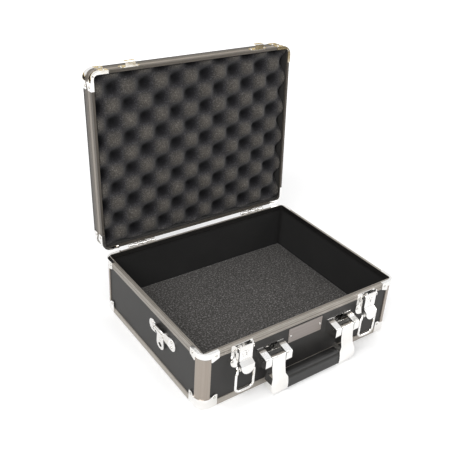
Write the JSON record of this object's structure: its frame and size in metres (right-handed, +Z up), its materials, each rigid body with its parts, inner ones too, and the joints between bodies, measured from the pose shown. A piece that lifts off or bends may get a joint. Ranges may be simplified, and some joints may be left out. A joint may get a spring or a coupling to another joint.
{
  "type": "hinged flight case",
  "caption": "Shallow hinged case with riveted corner caps, draw latches, carrying handle, side strap loops, egg-crate foam in the lid and a foam mat in the base.",
  "frame": {"origin": "on the floor, in the plane of the bottom corner caps, under the middle of the lower case", "axes": "+X to the right as seen from the latches, +Y from the front to the hinges, +Z up"},
  "size_m": [0.3558, 0.3469, 0.3743],
  "materials": {
    "champagne_aluminium": "satin anodised, ribbed, warm titanium grey",
    "chrome": "polished",
    "rivet_steel": "bright",
    "black_laminate": "matte, faint grain",
    "lining": "thin felt, matte black",
    "mat_foam": "charcoal foam, speckled",
    "egg_foam": "charcoal open-cell foam",
    "plate_grey": "warm grey, satin",
    "grip_black": "black, half gloss"
  },
  "bodies": {
    "base": {"base_floor_panel": "black_laminate", "base_front_panel": "black_laminate", "base_back_panel": "black_laminate", "base_left_panel": "black_laminate", "base_right_panel": "black_laminate", "base_bottom_frame": "champagne_aluminium", "base_rim_frame": "champagne_aluminium", "base_corner_posts": "champagne_aluminium", "base_rim_corner_caps": "chrome", "base_bottom_corner_caps": "chrome", "base_corner_rivets": "rivet_steel", "base_wall_lining": "lining", "base_foam_mat": "mat_foam", "name_plate": "plate_grey", "name_plate_rivets": "rivet_steel", "handle_bracket_left": "chrome", "handle_bracket_right": "chrome", "handle_pins": "rivet_steel", "handle_bracket_rivets": "rivet_steel", "latch_plate_left": "chrome", "latch_plate_right": "chrome", "latch_pivot_pins": "rivet_steel", "latch_rivets": "rivet_steel", "hinge_base_leaves": "chrome", "hinge_pins": "rivet_steel", "hinge_base_rivets": "rivet_steel", "strap_lug_left": "chrome", "strap_lug_right": "chrome", "strap_lug_rivets": "rivet_steel"},
    "lid": {"lid_top_panel": "black_laminate", "lid_frame": "champagne_aluminium", "lid_rim_corner_caps": "chrome", "lid_top_corner_caps": "chrome", "lid_corner_rivets": "rivet_steel", "lid_lining": "lining", "lid_egg_crate_foam": "egg_foam", "keeper_left": "chrome", "keeper_right": "chrome", "keeper_rivets": "rivet_steel", "hinge_lid_leaves": "chrome", "hinge_lid_rivets": "rivet_steel"},
    "handle": {"handle_arm_left": "chrome", "handle_arm_right": "chrome", "handle_grip": "grip_black", "handle_core_rod": "rivet_steel"},
    "latch_lever_left": {"latch_lever_left": "chrome", "lock_barrel_left": "chrome"},
    "lock_plug_left": {"lock_plug_left": "chrome"},
    "latch_bail_left": {"latch_bail_left": "chrome"},
    "strap_loop_left": {"strap_loop_left": "chrome"},
    "latch_lever_right": {"latch_lever_right": "chrome", "lock_barrel_right": "chrome"},
    "lock_plug_right": {"lock_plug_right": "chrome"},
    "latch_bail_right": {"latch_bail_right": "chrome"},
    "strap_loop_right": {"strap_loop_right": "chrome"}
  },
  "joints": [
    {"name": "lid_hinge", "type": "hinge", "parent": "base", "child": "lid", "pos_m": [0, 0.1384, 0.0928], "axis": [1, 0, 0], "range_deg": [0, 93.3]},
    {"name": "handle_swing", "type": "hinge", "parent": "base", "child": "handle", "pos_m": [0, -0.1484, 0.0587], "axis": [-1, 0, 0], "range_deg": [0, 150]},
    {"name": "latch_lever_left_pivot", "type": "hinge", "parent": "base", "child": "latch_lever_left", "pos_m": [-0.11, -0.1435, 0.0895], "axis": [1, 0, 0], "range_deg": [-75, 0]},
    {"name": "latch_bail_left_swing", "type": "hinge", "parent": "latch_lever_left", "child": "latch_bail_left", "pos_m": [-0.11, -0.147, 0.0606], "axis": [-1, 0, 0], "range_deg": [0, 189.6]},
    {"name": "lock_plug_left_turn", "type": "hinge", "parent": "latch_lever_left", "child": "lock_plug_left", "pos_m": [-0.11, -0.146, 0.0817], "axis": [0, 1, 0], "range_deg": [0, 90]},
    {"name": "strap_loop_left_swing", "type": "hinge", "parent": "base", "child": "strap_loop_left", "pos_m": [-0.1744, -0.0375, 0.0693], "axis": [0, 1, 0], "range_deg": [0, 165]},
    {"name": "latch_lever_right_pivot", "type": "hinge", "parent": "base", "child": "latch_lever_right", "pos_m": [0.11, -0.1435, 0.0895], "axis": [1, 0, 0], "range_deg": [-75, 0]},
    {"name": "latch_bail_right_swing", "type": "hinge", "parent": "latch_lever_right", "child": "latch_bail_right", "pos_m": [0.11, -0.147, 0.0606], "axis": [-1, 0, 0], "range_deg": [0, 189.6]},
    {"name": "lock_plug_right_turn", "type": "hinge", "parent": "latch_lever_right", "child": "lock_plug_right", "pos_m": [0.11, -0.146, 0.0817], "axis": [0, -1, 0], "range_deg": [0, 90]},
    {"name": "strap_loop_right_swing", "type": "hinge", "parent": "base", "child": "strap_loop_right", "pos_m": [0.1744, -0.0375, 0.0693], "axis": [0, -1, 0], "range_deg": [0, 165]}
  ]
}
